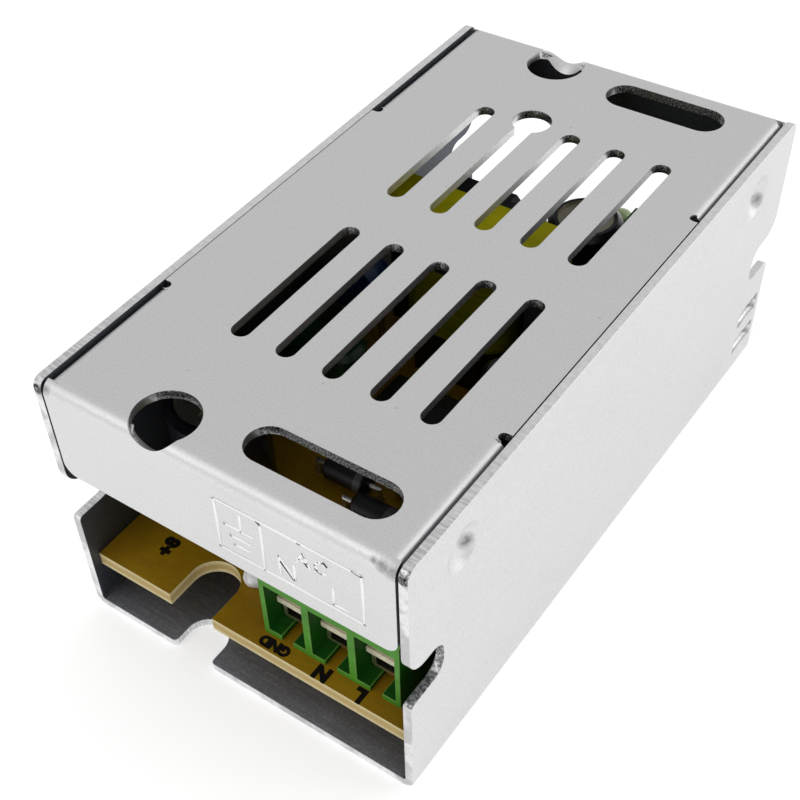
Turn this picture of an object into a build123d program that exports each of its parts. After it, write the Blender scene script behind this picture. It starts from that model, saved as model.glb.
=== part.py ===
from build123d import *
import os

# A small enclosed switch-mode power supply: a folded aluminium tray with a folded
# cover snapped into it, and a circuit board that slides in on ledges.
# Origin: middle of the underside. X across, -Y the mains end, +Y the output end, +Z up.

os.makedirs("parts", exist_ok=True)

# Folded case
case_width = 39.0
case_length = 70.0
case_height = 31.0
sheet = 0.9
bend_inner = 0.4
wall_gap = 0.1

# Mounting notch in the floor, with the board's notch and the cover's hole over it
mount_x = -6.6
floor_notch_width = 4.5
floor_notch_depth = 4.3
board_notch_width = 5.3
board_notch_depth = 6.1
access_radius = 3.1
access_inset = 2.95

# Notches in the ends of the side walls
side_notch_low = 13.3
side_notch_high = 17.6
side_notch_depth = 5.0
side_notch_round = 1.7
side_mouth_round = 2.2
small_corner = 0.5
wall_corner = 1.0

# Snap dimples in the side walls and the ledges that hold the board
dimple_y = 27.2
dimple_z = 26.4
dimple_radius = 2.4
dimple_depth = 1.0
dimple_fit = 0.2
ledge_length = 4.5
ledge_height = 2.1
ledge_inset = 0.8
ledge_reach = 0.75
ledge_gap = 0.1

# Cover
front_flange_low = 20.0
rear_flange_low = 23.5
flange_gap = 0.25
flange_corner = 1.4
front_tab_length = 14.5
rear_tab_length = 18.5
tab_inset = 1.0
tab_low = 20.6
tab_corner = 1.4
relief_radius = 0.5

# Vents and driver slots in the cover
vent_pitch = 5.0
vent_width = 1.95
vent_length = 18.2
vent_count = 5
vent_x = 1.85
front_vent_y = -12.0
rear_vent_y = 12.1
keyhole_radius = 2.05
driver_slot_width = 4.2
front_slot_length = 14.9
front_slot_x = 7.9
front_slot_y = -30.0
rear_slot_length = 12.9
rear_slot_x = 7.1
rear_slot_y = 30.3

# Circuit board
board_thickness = 1.6
board_under = 5.6
board_inset = 1.0
board_side_gap = 0.1
lead_radius = 0.3
lead_fit = 0.15
lead_tail = 1.6
drill_sides = 8

# Screw terminals
pole_pitch = 5.0
divider = 0.8
end_wall = 0.55
block_depth = 7.4
block_height = 10.0
block_slope = 1.2
window_floor = 0.7
window_top = 7.2
floor_slit = 1.3
slit_length = 4.0
bar_recess = 1.5
bar_width = 2.4
bar_thickness = 0.7
bar_low = 3.4
pin_width = 0.9
cage_width = 3.8
lip_width = 4.0
lip_depth = 0.5
cage_recess = 2.1
cage_length = 4.0
cage_floor = 0.45
cage_side = 0.5
cage_top = 1.1
cage_lift = 0.1
cage_play = 0.1
screw_radius = 1.25
thread_gap = 0.05
head_radius = 1.9
head_height = 1.6
head_gap = 0.1
head_seat = 7.8
head_slot_width = 0.6
head_slot_depth = 0.8
ac_poles = 3
ac_left = 1.15
ac_face = -32.3
dc_poles = 2
dc_left = 5.0
dc_face = 32.5

# Ferrite transformer
transformer_x = -3.55
transformer_y = 12.0
core_width = 19.1
core_depth = 4.85
core_half = 8.0
core_back = 2.4
core_leg = 2.4
core_post = 4.85
core_lift = 1.8
tape_thickness = 0.15
tape_width = 4.6
bobbin_wall = 0.7
bobbin_play = 0.1
flange_thickness = 0.9
flange_half_x = 6.8
flange_half_y = 6.6
flange_chamfer = 3.0
winding_half_x = 6.3
winding_half_y = 6.0
winding_round = 3.0
rail_inset = 0.8
bobbin_pin_pitch = 4.0

# Other components: place on the board, then size
bulk_wall_gap = 0.5
bulk_y, bulk_radius, bulk_height = -20.0, 5.0, 12.7
output_x, output_y, output_radius, output_height = 4.0, 21.0, 3.95, 14.8
supply_y, supply_radius, supply_height = 0.0, 2.5, 11.0
can_groove = 2.0
diode_radius, diode_length, diode_span = 1.35, 5.2, 7.6
diode_places = ((-3.05, -13.0), (2.3, -15.8), (-3.05, -9.0), (4.2, -10.8))
fuse_x, fuse_y, fuse_radius, fuse_length, fuse_span = 9.0, -21.6, 1.6, 7.0, 9.6
resistor_radius, resistor_length, resistor_span = 0.9, 3.4, 5.6
resistor_rows = (-8.5, -5.0, -1.5, 2.0, 5.5)
axial_lift = 0.2
thermistor_x, thermistor_y, thermistor_radius, thermistor_thickness = 10.4, -15.6, 4.0, 3.4
thermistor_lift = 1.0
bridge_wall_gap = 0.7
bridge_y, bridge_radius, bridge_thickness = 5.0, 4.0, 3.4
bridge_lift = 5.5
disc_lead_span = 5.0
film_y, film_length, film_thickness, film_height = -4.5, 10.0, 4.6, 9.0
film_lift = 0.8
chip_y, chip_length, chip_width, chip_height = -2.8, 9.4, 6.4, 3.3
chip_pins = 4
opto_x, opto_y, opto_length, opto_width, opto_height = 12.6, 13.0, 4.6, 6.4, 3.5
opto_pins = 2
pin_pitch = 2.54
chip_lift = 0.5
leg_thickness = 0.3
leg_width = 0.5
leg_spread = 0.65
rectifier_x, rectifier_y, rectifier_width, rectifier_thickness = -9.0, 21.7, 8.0, 2.7
rectifier_height, rectifier_lift = 10.8, 2.0
regulator_x, regulator_y, regulator_radius, regulator_height = 12.6, 20.4, 2.3, 4.6
regulator_lift = 2.0
regulator_pitch = 1.27
choke_x, choke_y, choke_radius, choke_height = -0.6, 27.4, 2.9, 6.5
choke_flange = 1.0
led_x, led_y, led_radius, led_height, led_lift = 3.0, 32.2, 1.5, 5.2, 3.1
led_collar = 0.25
led_collar_height = 1.0
dab_x, dab_y, dab_radius, dab_height = -2.9, -27.9, 1.6, 2.3

# Sizes that follow from the ones above
half_width = case_width / 2
half_length = case_length / 2
inner_half = half_width - sheet
bend_outer = bend_inner + sheet
board_top = board_under + board_thickness
board_half_x = inner_half - board_side_gap
board_half_y = half_length - board_inset
lead_end = board_under - lead_tail
cover_half = inner_half - wall_gap
window_width = pole_pitch - divider
bar_top = bar_low + bar_thickness
ends = (-1, 1)
ledge_y = half_length - ledge_inset - ledge_length / 2
ledge_mids = (board_under - ledge_height / 2, board_top + ledge_gap + ledge_height / 2)
drilled = []
pin_holes = []

# Tall parts by the walls keep their gap to them, and the middle row shares its spare width
bulk_x = bulk_wall_gap + bulk_radius - inner_half
bridge_x = bridge_wall_gap + bridge_radius - inner_half
resistor_width = resistor_span + 2 * lead_radius
row_gaps = 5
row_spare = 2 * inner_half - film_length - chip_length - 2 * supply_radius - resistor_width
row_gap = row_spare / row_gaps
film_x = row_gap + film_length / 2 - inner_half
chip_x = film_x + film_length / 2 + row_gap + chip_length / 2
supply_x = chip_x + chip_length / 2 + row_gap + supply_radius
resistor_x = inner_half - row_gap - resistor_width / 2


def write(piece, label):
    piece.part.label = label
    export_step(piece.part, f"parts/{label}.step")


def dimple(side, end, wall, mode):
    """A shallow dome that points inwards from one face of a side wall."""
    seat = Plane(origin=(side * wall, end * dimple_y, dimple_z), x_dir=(-side, 0, 0), z_dir=(0, 0, 1))
    with BuildSketch(seat) as dome:
        with BuildLine():
            TangentArc((dimple_depth, 0), (0, dimple_radius), tangent=(0, 1))
            Polyline(
                (0, dimple_radius),
                (-sheet / 2, dimple_radius),
                (-sheet / 2, 0),
                (dimple_depth, 0),
            )
        make_face()
    revolve(dome.sketch, axis=Axis(seat.origin, seat.x_dir), mode=mode)


def leads(places, top):
    """Round leads that run from a component's underside down through the board."""
    with Locations(*[(x, y, lead_end) for x, y in places]):
        Cylinder(lead_radius, top - lead_end, align=(Align.CENTER, Align.CENTER, Align.MIN))
    drilled.extend(places)


# Tray: one sheet folded into a channel, with notched ends
end_edge = half_length - 0.01

with BuildPart() as chassis:
    with BuildSketch(Plane.XZ) as channel:
        Rectangle(case_width, case_height, align=(Align.CENTER, Align.MIN))
        fillet(channel.vertices().group_by(Axis.Y)[0], bend_outer)
        with Locations((0, sheet)):
            Rectangle(2 * inner_half, case_height, align=(Align.CENTER, Align.MIN), mode=Mode.SUBTRACT)
        fillet(channel.vertices().filter_by(lambda v: abs(v.Y - sheet) < 0.01), bend_inner)
    extrude(amount=half_length, both=True)

    with BuildSketch(Plane.YZ) as side_notch:
        with Locations((-half_length, side_notch_low), (half_length, side_notch_low)):
            Rectangle(2 * side_notch_depth, side_notch_high - side_notch_low, align=(Align.CENTER, Align.MIN))
        fillet(side_notch.vertices(), side_notch_round)
    extrude(amount=half_width, both=True, mode=Mode.SUBTRACT)
    mouth_edges = chassis.edges().filter_by(Axis.X).filter_by(lambda e: abs(e.center().Y) > end_edge)
    high_edges = mouth_edges.filter_by(lambda e: abs(e.center().Z - side_notch_high) < 0.01)
    low_edges = mouth_edges.filter_by(lambda e: abs(e.center().Z - side_notch_low) < 0.01)
    fillet(high_edges, side_mouth_round)
    fillet(low_edges, small_corner)
    top_edges = chassis.edges().filter_by(Axis.X).group_by(Axis.Z)[-1]
    fillet(top_edges, wall_corner)

    # Open-ended notches for a mounting screw, front and rear
    with BuildSketch(Plane.XY) as floor_notches:
        with Locations((mount_x, -half_length), (mount_x, half_length)):
            SlotOverall(2 * floor_notch_depth, floor_notch_width, rotation=90)
    extrude(amount=sheet, mode=Mode.SUBTRACT)
    floor_edges = chassis.edges().filter_by(Axis.Z).filter_by(lambda e: abs(e.center().Y) > end_edge)
    fillet(floor_edges.filter_by(lambda e: abs(e.center().X) < inner_half - bend_inner), small_corner)

    # Dimples pressed into the side walls, which snap into the cover's tabs
    for side in ends:
        for end in ends:
            dimple(side, end, inner_half, Mode.ADD)
            dimple(side, end, half_width, Mode.SUBTRACT)

    # Ledges half-sheared inwards at the rear: the board's edge lies between each pair
    for wall, mode in ((inner_half, Mode.ADD), (half_width, Mode.SUBTRACT)):
        with Locations(*[(side * wall, ledge_y, z) for side in ends for z in ledge_mids]):
            Box(2 * ledge_reach, ledge_length, ledge_height, mode=mode)
write(chassis, "chassis")


# Cover: a flat top with a flange folded down at each end and four side tabs
def corner_band(side, centre_y, length):
    """One side tab with its bend, as a profile drawn across the case and run along it."""
    bend_centre = (cover_half - bend_outer, case_height - bend_outer)
    with BuildPart() as tab:
        with BuildSketch(Plane.XZ.offset(-centre_y)) as section:
            with Locations(bend_centre):
                Circle(bend_outer)
                Circle(bend_inner, mode=Mode.SUBTRACT)
                Rectangle(bend_outer, bend_outer, align=(Align.MIN, Align.MIN), mode=Mode.INTERSECT)
            with Locations((cover_half, tab_low)):
                Rectangle(sheet, case_height - bend_outer - tab_low, align=(Align.MAX, Align.MIN))
        extrude(amount=length / 2, both=True)
        lower = tab.edges().filter_by(Axis.X).group_by(Axis.Z)[0]
        fillet(lower, tab_corner)
        with BuildSketch(Plane.YZ.offset(cover_half)) as snap_hole:
            with Locations(((1 if centre_y > 0 else -1) * dimple_y, dimple_z)):
                Circle(dimple_radius + dimple_fit)
        extrude(amount=-2 * sheet, mode=Mode.SUBTRACT)
    return tab.part if side > 0 else mirror(tab.part, about=Plane.YZ)


tab_outer_end = half_length - tab_inset
front_tab_y = -(tab_outer_end - front_tab_length / 2)
rear_tab_y = tab_outer_end - rear_tab_length / 2
front_tab_inner = -(tab_outer_end - front_tab_length)
rear_tab_inner = tab_outer_end - rear_tab_length
tab_spans = ((front_tab_y, front_tab_length), (rear_tab_y, rear_tab_length))
tabs = [corner_band(side, y, length) for side in ends for y, length in tab_spans]

with BuildPart() as cover:
    with BuildSketch(Plane.YZ) as cover_section:
        with Locations((0, case_height)):
            Rectangle(case_length, case_height - front_flange_low, align=(Align.CENTER, Align.MAX))
        fillet(cover_section.vertices().group_by(Axis.Y)[-1], bend_outer)
        with BuildSketch(mode=Mode.SUBTRACT) as under:
            with Locations((0, case_height - sheet)):
                Rectangle(case_length - 2 * sheet, case_height, align=(Align.CENTER, Align.MAX))
            fillet(under.vertices().group_by(Axis.Y)[-1], bend_inner)
        with Locations((half_length, front_flange_low)):
            Rectangle(
                2 * sheet,
                rear_flange_low - front_flange_low,
                align=(Align.MAX, Align.MIN),
                mode=Mode.SUBTRACT,
            )
    extrude(amount=cover_half, both=True)

    # The end flanges are narrower than the top, with a gap to each side wall
    with BuildSketch(Plane.XY.offset(case_height)):
        for side in ends:
            for end in ends:
                with Locations((side * (inner_half - flange_gap), end * tab_outer_end)):
                    Rectangle(
                        flange_gap,
                        tab_inset,
                        align=(Align.MIN if side > 0 else Align.MAX, Align.MIN if end > 0 else Align.MAX),
                    )
    extrude(amount=front_flange_low - case_height, mode=Mode.SUBTRACT)
    low_corners = cover.edges().filter_by(Axis.Y).filter_by_position(Axis.Z, 0, rear_flange_low + sheet)
    fillet(low_corners, flange_corner)

    # The tabs' bends take the place of the plate's square edge
    for y, length in tab_spans:
        for side in ends:
            with Locations((side * cover_half, y, case_height)):
                Box(
                    2 * bend_outer,
                    length,
                    2 * bend_outer,
                    mode=Mode.SUBTRACT,
                )
    add(tabs)

    # Small round reliefs beside the inner end of each tab
    with Locations(
        *[
            (side * (cover_half - relief_radius), y, case_height - sheet / 2)
            for side in ends
            for y in (front_tab_inner + relief_radius, rear_tab_inner - relief_radius)
        ]
    ):
        Cylinder(relief_radius, 2 * sheet, mode=Mode.SUBTRACT)
    with Locations(
        *[
            (side * cover_half, y, case_height - sheet / 2)
            for side in ends
            for y in (front_tab_inner + relief_radius, rear_tab_inner - relief_radius)
        ]
    ):
        Box(2 * relief_radius, 2 * relief_radius, 2 * sheet, mode=Mode.SUBTRACT)

    # Vent slots in two rows, one with a keyhole end, and the driver slots and holes
    with BuildSketch(Plane.XY.offset(case_height)) as vents:
        with Locations((vent_x, front_vent_y), (vent_x, rear_vent_y)):
            with GridLocations(vent_pitch, 0, vent_count, 1):
                SlotOverall(vent_length, vent_width, rotation=90)
        with Locations((vent_x - vent_pitch, rear_vent_y + vent_length / 2)):
            Circle(keyhole_radius)
        with Locations((front_slot_x, front_slot_y)):
            SlotOverall(front_slot_length, driver_slot_width)
        with Locations((rear_slot_x, rear_slot_y)):
            SlotOverall(rear_slot_length, driver_slot_width)
        with Locations(*[(mount_x, end * (half_length - access_inset)) for end in ends]):
            Circle(access_radius)
    extrude(amount=-sheet, mode=Mode.SUBTRACT)

    # The access holes were punched flat, so they follow the sheet round the end bends:
    # a second cut at 45 degrees carries each hole's outline on to the foot of its bend
    bend_chord = bend_outer * 2**0.5
    mouth_half = (access_radius**2 - (access_inset - bend_outer) ** 2) ** 0.5
    mouth_radius = (mouth_half**2 + bend_chord**2) / (2 * bend_chord)
    for end in ends:
        bend_start = Plane(
            origin=(mount_x, end * (half_length - bend_outer), case_height),
            x_dir=(end, 0, 0),
            z_dir=(0, end, 1),
        )
        with BuildSketch(bend_start):
            with Locations((0, bend_chord - mouth_radius)):
                Circle(mouth_radius)
            Rectangle(2 * mouth_radius, bend_chord, align=(Align.CENTER, Align.MIN), mode=Mode.INTERSECT)
        extrude(amount=bend_outer, both=True, mode=Mode.SUBTRACT)
write(cover, "cover")


# Screw terminals: a moulded housing, contact bars with solder pins, and for each pole
# a rising cage drawn up by a captive screw
def block_plane(left, face, poles, end):
    """Local x across the openings, local y into the housing, z up from the board."""
    width = poles * pole_pitch - divider + 2 * end_wall
    start = left if end < 0 else left + width
    return Plane(origin=(start, face, board_top), x_dir=(-end, 0, 0), z_dir=(0, 0, 1)), width


def pole_offset(index):
    return end_wall + window_width / 2 + index * pole_pitch


def face_plane(seat, depth=0):
    """Upright plane parallel to the openings, looking out of the housing."""
    return Plane(seat.from_local_coords((0, depth, 0)), x_dir=seat.x_dir, z_dir=-seat.y_dir)


def side_plane(seat, offset=0):
    """Upright plane across the housing, with local y to the right and z up."""
    return Plane(seat.from_local_coords((offset, 0, 0)), x_dir=seat.y_dir, z_dir=seat.x_dir)


chamber_depth = cage_recess + cage_length + cage_play
leg_end = chamber_depth + bar_thickness


def terminal_housing(seat, width, poles):
    places = [pole_offset(i) for i in range(poles)]
    with BuildPart() as housing:
        with BuildSketch(side_plane(seat)):
            with BuildLine():
                Polyline(
                    (0, 0),
                    (block_depth, 0),
                    (block_depth, block_height),
                    (block_slope, block_height),
                    (0, block_height - block_slope),
                    close=True,
                )
            make_face()
        extrude(amount=width)
        with BuildSketch(face_plane(seat)):
            with Locations(*[(x, window_floor) for x in places]):
                Rectangle(window_width, window_top - window_floor, align=(Align.CENTER, Align.MIN))
        extrude(amount=-chamber_depth, mode=Mode.SUBTRACT)
        with BuildSketch(seat.offset(block_height)):
            with Locations(*[(x, cage_recess + cage_length / 2) for x in places]):
                Circle(head_radius + head_gap)
        extrude(amount=head_seat - block_height, mode=Mode.SUBTRACT)
        with BuildSketch(seat.offset(head_seat)):
            with Locations(*[(x, cage_recess + cage_length / 2) for x in places]):
                Circle(screw_radius + head_gap)
        extrude(amount=window_top - head_seat, mode=Mode.SUBTRACT)
        with BuildSketch(seat):
            with Locations(*[(x, 0) for x in places]):
                Rectangle(floor_slit, slit_length, align=(Align.CENTER, Align.MIN))
        extrude(amount=window_floor, mode=Mode.SUBTRACT)
        with BuildSketch(seat):
            with Locations(*[(x, chamber_depth) for x in places]):
                Rectangle(bar_width, bar_thickness, align=(Align.CENTER, Align.MIN))
        extrude(amount=bar_top, mode=Mode.SUBTRACT)
    return housing


def terminal_contacts(seat, poles):
    with BuildPart() as contacts:
        for index in range(poles):
            x = pole_offset(index)
            with BuildSketch(side_plane(seat, x - bar_width / 2)):
                with BuildLine():
                    Polyline(
                        (bar_recess, bar_low),
                        (bar_recess, bar_top),
                        (leg_end, bar_top),
                        (leg_end, 0),
                        (chamber_depth, 0),
                        (chamber_depth, bar_low),
                        close=True,
                    )
                make_face()
            extrude(amount=bar_width)
            with BuildSketch(seat.offset(bar_low)):
                with Locations((x, bar_recess)):
                    Rectangle(lip_width, lip_depth, align=(Align.CENTER, Align.MIN))
            extrude(amount=bar_thickness)
            with BuildSketch(seat):
                with Locations((x, chamber_depth)):
                    Rectangle(pin_width, bar_thickness, align=(Align.CENTER, Align.MIN))
            extrude(amount=lead_end - board_top)
            pin = seat.from_local_coords((x, chamber_depth + bar_thickness / 2, 0))
            pin_holes.append((pin.X, pin.Y))
    return contacts


def clamp_cage(seat, index):
    x = pole_offset(index)
    low = window_floor + cage_lift
    inside_low = low + cage_floor
    inside_high = bar_top + cage_play
    with BuildPart() as cage:
        with BuildSketch(face_plane(seat, cage_recess)) as ring:
            with Locations((x, low)):
                Rectangle(cage_width, inside_high + cage_top - low, align=(Align.CENTER, Align.MIN))
            chamfer(ring.vertices(), cage_side / 2)
            with Locations((x, inside_low)):
                Rectangle(
                    cage_width - 2 * cage_side,
                    inside_high - inside_low,
                    align=(Align.CENTER, Align.MIN),
                    mode=Mode.SUBTRACT,
                )
        extrude(amount=-cage_length)
        with BuildSketch(seat.offset(inside_high)):
            with Locations((x, cage_recess + cage_length / 2)):
                Circle(screw_radius + thread_gap)
        extrude(amount=cage_top, mode=Mode.SUBTRACT)
    return cage


def clamp_screw(seat, index):
    x = pole_offset(index)
    y = cage_recess + cage_length / 2
    tip = bar_top + thread_gap
    with BuildPart() as screw:
        with BuildSketch(seat.offset(tip)):
            with Locations((x, y)):
                Circle(screw_radius)
        extrude(amount=head_seat - tip)
        with BuildSketch(seat.offset(head_seat)):
            with Locations((x, y)):
                Circle(head_radius)
        extrude(amount=head_height)
        chamfer(screw.edges().filter_by(GeomType.CIRCLE).group_by(Axis.Z)[-1], head_gap)
        with BuildSketch(seat.offset(head_seat + head_height)):
            with Locations((x, y)):
                Rectangle(2 * head_radius, head_slot_width)
        extrude(amount=-head_slot_depth, mode=Mode.SUBTRACT)
    return screw


blocks = (("ac", ac_left, ac_face, ac_poles, -1), ("dc", dc_left, dc_face, dc_poles, 1))
for side_name, left, face, poles, end in blocks:
    seat, width = block_plane(left, face, poles, end)
    write(terminal_housing(seat, width, poles), f"{side_name}_terminal_housing")
    write(terminal_contacts(seat, poles), f"{side_name}_terminal_contacts")
    for index in range(poles):
        write(clamp_cage(seat, index), f"{side_name}_clamp_cage_{index + 1}")
        write(clamp_screw(seat, index), f"{side_name}_clamp_screw_{index + 1}")


# Transformer: two E-shaped ferrite halves around a wound bobbin, banded with tape
core_low = board_top + core_lift
core_middle = core_low + core_half
core_high = core_low + 2 * core_half
post_window = core_width / 2 - core_leg - core_post / 2


def core_half_part(back_low, back_high, tip):
    """An E half: a back bar with two outer legs and a middle post up to the joint."""
    leg_length = abs(tip - (back_low if tip < back_low else back_high))
    leg_middle = (tip + (back_low if tip < back_low else back_high)) / 2
    with BuildPart() as half:
        with BuildSketch(Plane.XZ.offset(-transformer_y)):
            with Locations((transformer_x, (back_low + back_high) / 2)):
                Rectangle(core_width, back_high - back_low)
            with Locations((transformer_x, leg_middle)):
                Rectangle(core_post, leg_length)
                with GridLocations(core_width - core_leg, 0, 2, 1):
                    Rectangle(core_leg, leg_length)
        extrude(amount=core_depth / 2, both=True)
    return half


write(core_half_part(core_low, core_low + core_back, core_middle), "transformer_core_lower")
write(core_half_part(core_high - core_back, core_high, core_middle), "transformer_core_upper")

with BuildPart() as transformer_tape:
    with BuildSketch(Plane.XZ.offset(-transformer_y)) as band:
        with Locations((transformer_x, core_middle)):
            Rectangle(core_width + 2 * tape_thickness, 2 * core_half + 2 * tape_thickness)
            Rectangle(core_width, 2 * core_half, mode=Mode.SUBTRACT)
    extrude(amount=tape_width / 2, both=True)
write(transformer_tape, "transformer_tape")

bobbin_low = core_low + core_back + bobbin_play
bobbin_high = core_high - core_back - bobbin_play
tube_inner = core_post + 2 * bobbin_play
tube_outer = tube_inner + 2 * bobbin_wall
rail_width = flange_half_y - core_depth / 2 - rail_inset
rail_y = core_depth / 2 + rail_inset + rail_width / 2

with BuildPart() as transformer_bobbin:
    for low in (bobbin_low, bobbin_high - flange_thickness):
        with BuildSketch(Plane.XY.offset(low)) as plate:
            with Locations((transformer_x, transformer_y)):
                Rectangle(2 * flange_half_x, 2 * flange_half_y)
            chamfer(plate.vertices(), flange_chamfer)
        extrude(amount=flange_thickness)
    with BuildSketch(Plane.XY.offset(bobbin_low)):
        with Locations((transformer_x, transformer_y)):
            Rectangle(tube_outer, tube_outer)
    extrude(amount=bobbin_high - bobbin_low)
    with BuildSketch(Plane.XY.offset(board_top)):
        with Locations(*[(transformer_x, transformer_y + end * rail_y) for end in ends]):
            Rectangle(2 * (flange_half_x - flange_chamfer), rail_width)
    extrude(amount=bobbin_low - board_top)
    with BuildSketch(Plane.XY.offset(bobbin_low)):
        with Locations((transformer_x, transformer_y)):
            Rectangle(tube_inner, tube_inner)
    extrude(amount=bobbin_high - bobbin_low, mode=Mode.SUBTRACT)
    leads(
        [
            (transformer_x + step * bobbin_pin_pitch / 2, transformer_y + end * rail_y)
            for end in ends
            for step in (-1, 0, 1)
        ],
        board_top + lead_radius,
    )
write(transformer_bobbin, "transformer_bobbin")

with BuildPart() as transformer_winding:
    with BuildSketch(Plane.XY.offset(bobbin_low + flange_thickness)) as turns:
        with Locations((transformer_x, transformer_y)):
            Rectangle(2 * winding_half_x, 2 * winding_half_y)
        fillet(turns.vertices(), winding_round)
        with Locations((transformer_x, transformer_y)):
            Rectangle(tube_outer, tube_outer, mode=Mode.SUBTRACT)
    extrude(amount=bobbin_high - bobbin_low - 2 * flange_thickness)
write(transformer_winding, "transformer_winding")


# Electrolytic capacitors: a sleeved can with a crimp groove and a scored top
sleeve_edge = 0.6
sleeve_lip = 0.25
rim_width = 1.0
score_width = 0.25
score_depth = 0.15


def can_capacitor(x, y, radius, height):
    top = board_top + height
    groove = board_top + can_groove
    with BuildPart() as can:
        with BuildSketch(Plane(origin=(x, y, 0), x_dir=(1, 0, 0), z_dir=(0, -1, 0))):
            with BuildLine():
                Polyline(
                    (0, board_top),
                    (radius - sleeve_edge, board_top),
                    (radius, board_top + sleeve_edge),
                    (radius, groove),
                    (radius - sleeve_edge / 2, groove + sleeve_edge / 2),
                    (radius, groove + sleeve_edge),
                    (radius, top - sleeve_edge),
                    (radius - sleeve_edge, top),
                    (radius - rim_width, top),
                    (radius - rim_width, top - sleeve_lip),
                    (0, top - sleeve_lip),
                    close=True,
                )
            make_face()
        revolve(axis=Axis((x, y, 0), (0, 0, 1)))
        with BuildSketch(Plane.XY.offset(top - sleeve_lip)):
            with Locations((x, y)):
                Rectangle(radius, score_width)
                Rectangle(score_width, radius)
        extrude(amount=-score_depth, mode=Mode.SUBTRACT)
        leads([(x - radius / 2, y), (x + radius / 2, y)], board_top + lead_radius)
    return can


write(can_capacitor(bulk_x, bulk_y, bulk_radius, bulk_height), "bulk_capacitor")
write(can_capacitor(output_x, output_y, output_radius, output_height), "output_capacitor")
write(can_capacitor(supply_x, supply_y, supply_radius, supply_height), "supply_capacitor")


# Axial parts: a body along X whose leads turn down into the board
def axial_part(x, y, radius, length, span):
    height = board_top + axial_lift + radius
    ends_x = (x - span / 2, x + span / 2)
    with BuildPart() as axial:
        with BuildLine():
            Polyline(
                (ends_x[0], y, lead_end),
                (ends_x[0], y, height),
                (ends_x[1], y, height),
                (ends_x[1], y, lead_end),
            )
        with BuildSketch(Plane.XY.offset(lead_end)):
            with Locations((ends_x[0], y)):
                Circle(lead_radius)
        sweep(transition=Transition.RIGHT)
        with BuildSketch(Plane.YZ.offset(x - length / 2)):
            with Locations((y, height)):
                Circle(radius)
        extrude(amount=length)
        body_ends = axial.edges().filter_by(GeomType.CIRCLE).filter_by(lambda e: abs(e.radius - radius) < 0.01)
        chamfer(body_ends, radius / 4)
    drilled.extend((end_x, y) for end_x in ends_x)
    return axial.part


with BuildPart() as rectifier_diodes:
    for x, y in diode_places:
        add(axial_part(x, y, diode_radius, diode_length, diode_span))
write(rectifier_diodes, "rectifier_diodes")

with BuildPart() as fuse_resistor:
    add(axial_part(fuse_x, fuse_y, fuse_radius, fuse_length, fuse_span))
write(fuse_resistor, "fuse_resistor")

with BuildPart() as resistors:
    for y in resistor_rows:
        add(axial_part(resistor_x, y, resistor_radius, resistor_length, resistor_span))
write(resistors, "resistors")


# Dipped discs that stand on two leads
def disc_part(x, y, radius, thickness, lift):
    centre = board_top + lift + radius
    with BuildPart() as disc:
        with BuildSketch(Plane.XZ.offset(-y)):
            with Locations((x, centre)):
                Circle(radius)
        extrude(amount=thickness / 2, both=True)
        chamfer(disc.edges(), thickness / 4)
        leads([(x - disc_lead_span / 2, y), (x + disc_lead_span / 2, y)], centre)
    return disc


write(disc_part(thermistor_x, thermistor_y, thermistor_radius, thermistor_thickness, thermistor_lift), "thermistor")
write(disc_part(bridge_x, bridge_y, bridge_radius, bridge_thickness, bridge_lift), "bridging_capacitor")

with BuildPart() as film_capacitor:
    with BuildSketch(Plane.XY.offset(board_top + film_lift)) as film_plan:
        with Locations((film_x, film_y)):
            Rectangle(film_length, film_thickness)
        fillet(film_plan.vertices(), film_thickness / 3)
    extrude(amount=film_height)
    chamfer(film_capacitor.faces().filter_by(Axis.Z).edges(), film_thickness / 8)
    leads(
        [(film_x + side * disc_lead_span / 2, film_y) for side in ends],
        board_top + film_lift + film_height / 2,
    )
write(film_capacitor, "film_capacitor")


# Moulded chips with two rows of legs
def moulded_chip(x, y, length, width, height, pins, along):
    """along is the direction of the pin rows."""
    turn = 0 if along == "x" else 90
    low = board_top + chip_lift
    middle = low + height / 2
    row = width / 2 + leg_spread
    chip_frame = Plane(origin=(x, y, 0), x_dir=(1, 0, 0) if turn == 0 else (0, 1, 0), z_dir=(0, 0, 1))
    with BuildPart() as chip:
        with BuildSketch(chip_frame.offset(low)):
            Rectangle(length, width)
        extrude(amount=height)
        chamfer(chip.faces().filter_by(Axis.Z).edges(), leg_thickness)
        for step in range(pins):
            offset = (step - (pins - 1) / 2) * pin_pitch
            for side in ends:
                leg_sketch = Plane(
                    chip_frame.from_local_coords((offset - leg_width / 2, 0, 0)),
                    x_dir=chip_frame.y_dir,
                    z_dir=chip_frame.x_dir,
                )
                with BuildSketch(leg_sketch):
                    with BuildLine():
                        Polyline(
                            (side * (width / 2 - leg_thickness), middle),
                            (side * (row + leg_thickness / 2), middle),
                            (side * (row + leg_thickness / 2), lead_end),
                            (side * (row - leg_thickness / 2), lead_end),
                            (side * (row - leg_thickness / 2), middle - leg_thickness),
                            (side * (width / 2 - leg_thickness), middle - leg_thickness),
                            close=True,
                        )
                    make_face()
                extrude(amount=leg_width)
                hole = chip_frame.from_local_coords((offset, side * row, 0))
                drilled.append((hole.X, hole.Y))
        with Locations(chip_frame.from_local_coords((-length / 2, 0, low + height))):
            Cylinder(width / 8, leg_thickness, mode=Mode.SUBTRACT)
    return chip


write(moulded_chip(chip_x, chip_y, chip_length, chip_width, chip_height, chip_pins, "x"), "switching_chip")
write(moulded_chip(opto_x, opto_y, opto_length, opto_width, opto_height, opto_pins, "y"), "optocoupler")

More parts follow.
